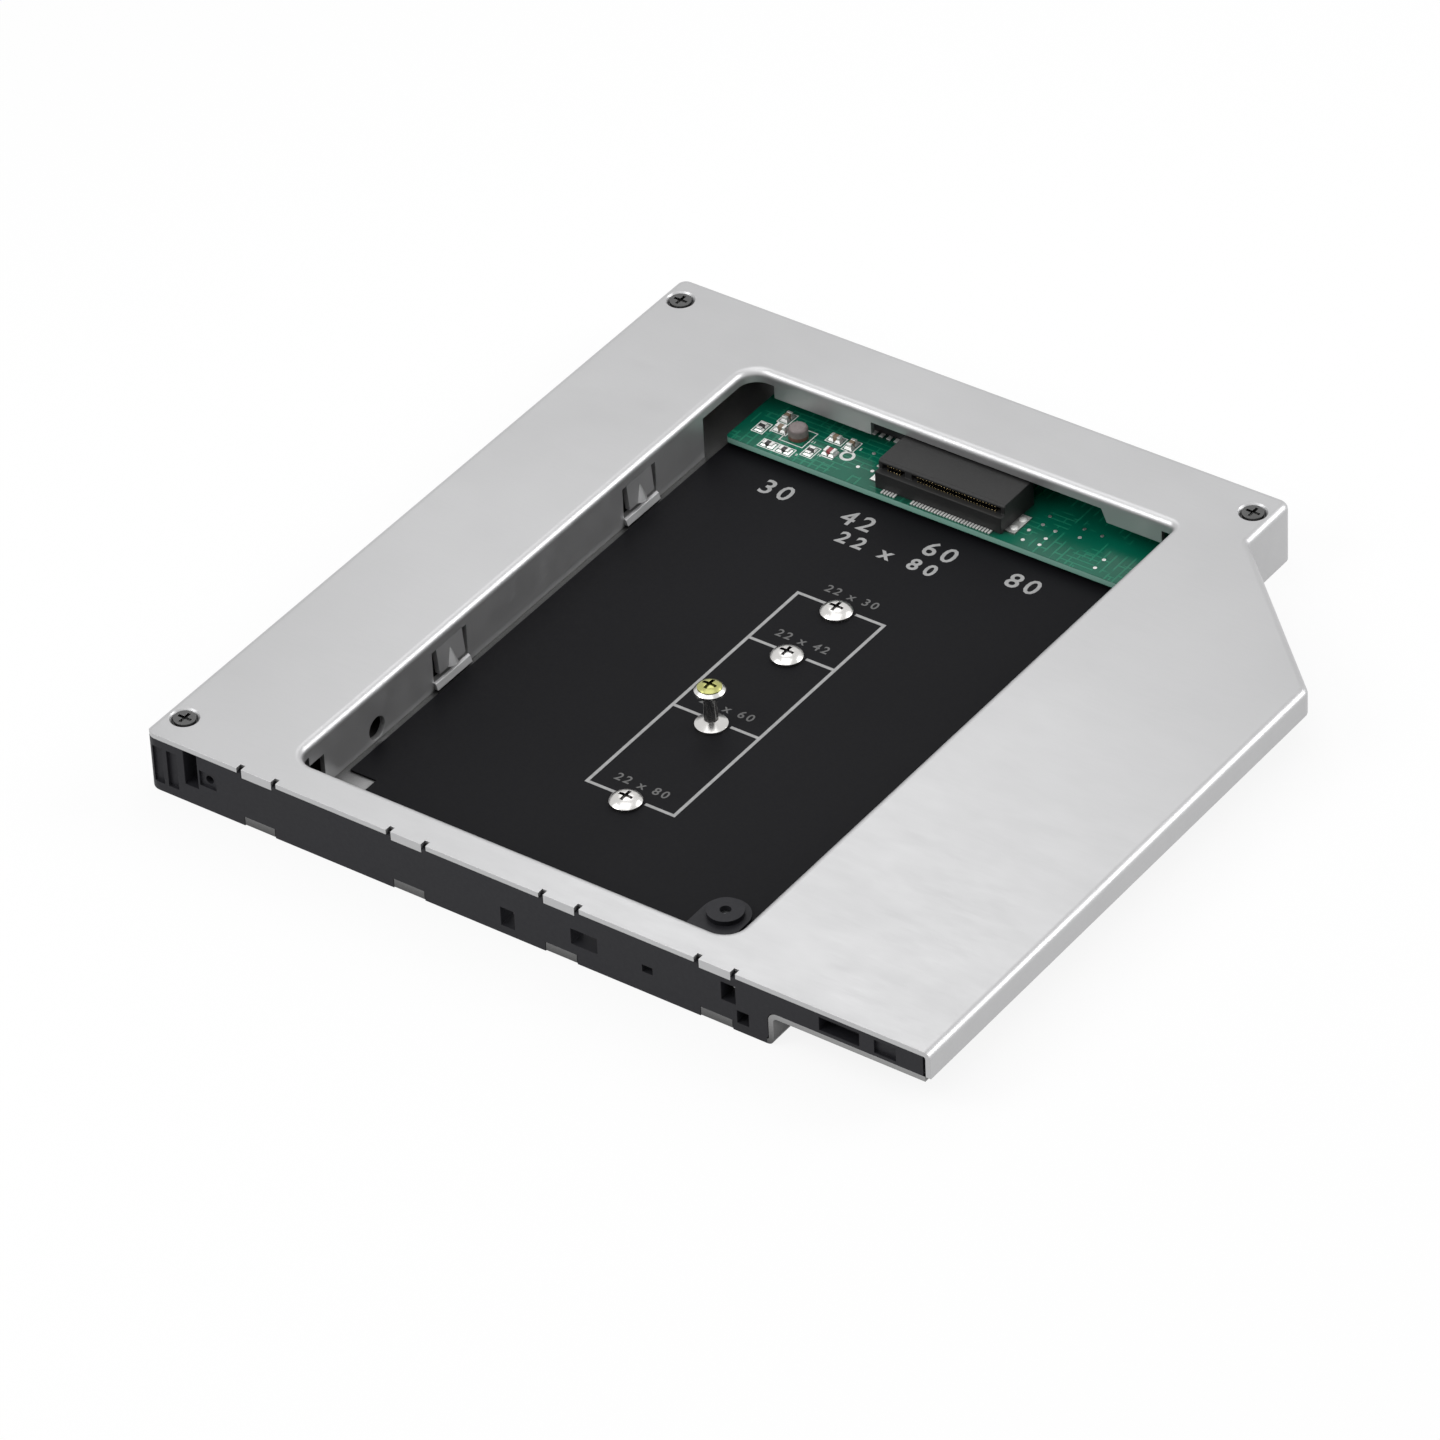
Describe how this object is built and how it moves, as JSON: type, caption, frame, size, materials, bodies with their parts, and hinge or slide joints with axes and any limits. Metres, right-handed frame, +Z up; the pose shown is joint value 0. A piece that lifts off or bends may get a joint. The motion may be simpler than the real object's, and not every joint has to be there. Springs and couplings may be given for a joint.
{
  "type": "laptop drive caddy",
  "caption": "Slim folded-aluminium drive bay caddy with a large opening, a board with a module socket, threaded module posts and a moulded front rail.",
  "frame": {"origin": "middle of the case's underside, at the centre of its overall width and depth", "axes": "+Z up through the case, +Y from the front rail towards the rear plug, +X towards the wing"},
  "size_m": [0.128, 0.1262, 0.0095],
  "materials": {
    "case_aluminium": "fine satin",
    "tray_aluminium": "fine satin",
    "rail_plastic": "fine moulded texture",
    "film_plastic": "smooth satin, white print",
    "board_green": "glossy solder mask",
    "socket_plastic": "smooth moulded",
    "socket_contact_gold": "gold plated",
    "solder_tab_tin": "tinned",
    "plug_plastic": "smooth moulded",
    "plug_contact_gold": "gold plated",
    "inductor_ceramic": "coated",
    "led_resin": "clear resin",
    "capacitor_ceramic": "fired ceramic with tinned ends",
    "resistor_ceramic": "coated with tinned ends",
    "regulator_plastic": "moulded",
    "lead_tin": "tinned",
    "nut_nickel": "nickel plated",
    "screw_nickel": "nickel plated",
    "standoff_nickel": "nickel plated",
    "screw_brass": "yellow plated",
    "board_spacer_brass": "turned",
    "board_screw_nickel": "nickel plated",
    "corner_spacer_brass": "turned",
    "corner_screw_nickel": "nickel plated",
    "rail_screw_steel": "zinc plated"
  },
  "bodies": {
    "root": {"top_cover": "case_aluminium", "bottom_tray": "tray_aluminium", "front_rail": "rail_plastic", "insulating_film": "film_plastic", "circuit_board": "board_green", "module_socket_housing": "socket_plastic", "module_socket_contacts": "socket_contact_gold", "socket_solder_tabs": "solder_tab_tin", "rear_plug_housing": "plug_plastic", "rear_plug_contacts": "plug_contact_gold", "power_inductor": "inductor_ceramic", "status_led": "led_resin", "capacitors": "capacitor_ceramic", "resistors": "resistor_ceramic", "regulator_body": "regulator_plastic", "regulator_leads": "lead_tin", "insert_nuts": "nut_nickel", "module_screws": "screw_nickel", "module_standoff": "standoff_nickel", "standoff_screw": "screw_brass", "board_spacers": "board_spacer_brass", "board_screws": "board_screw_nickel", "corner_spacers": "corner_spacer_brass", "corner_screws": "corner_screw_nickel", "rail_screw": "rail_screw_steel"}
  },
  "joints": []
}
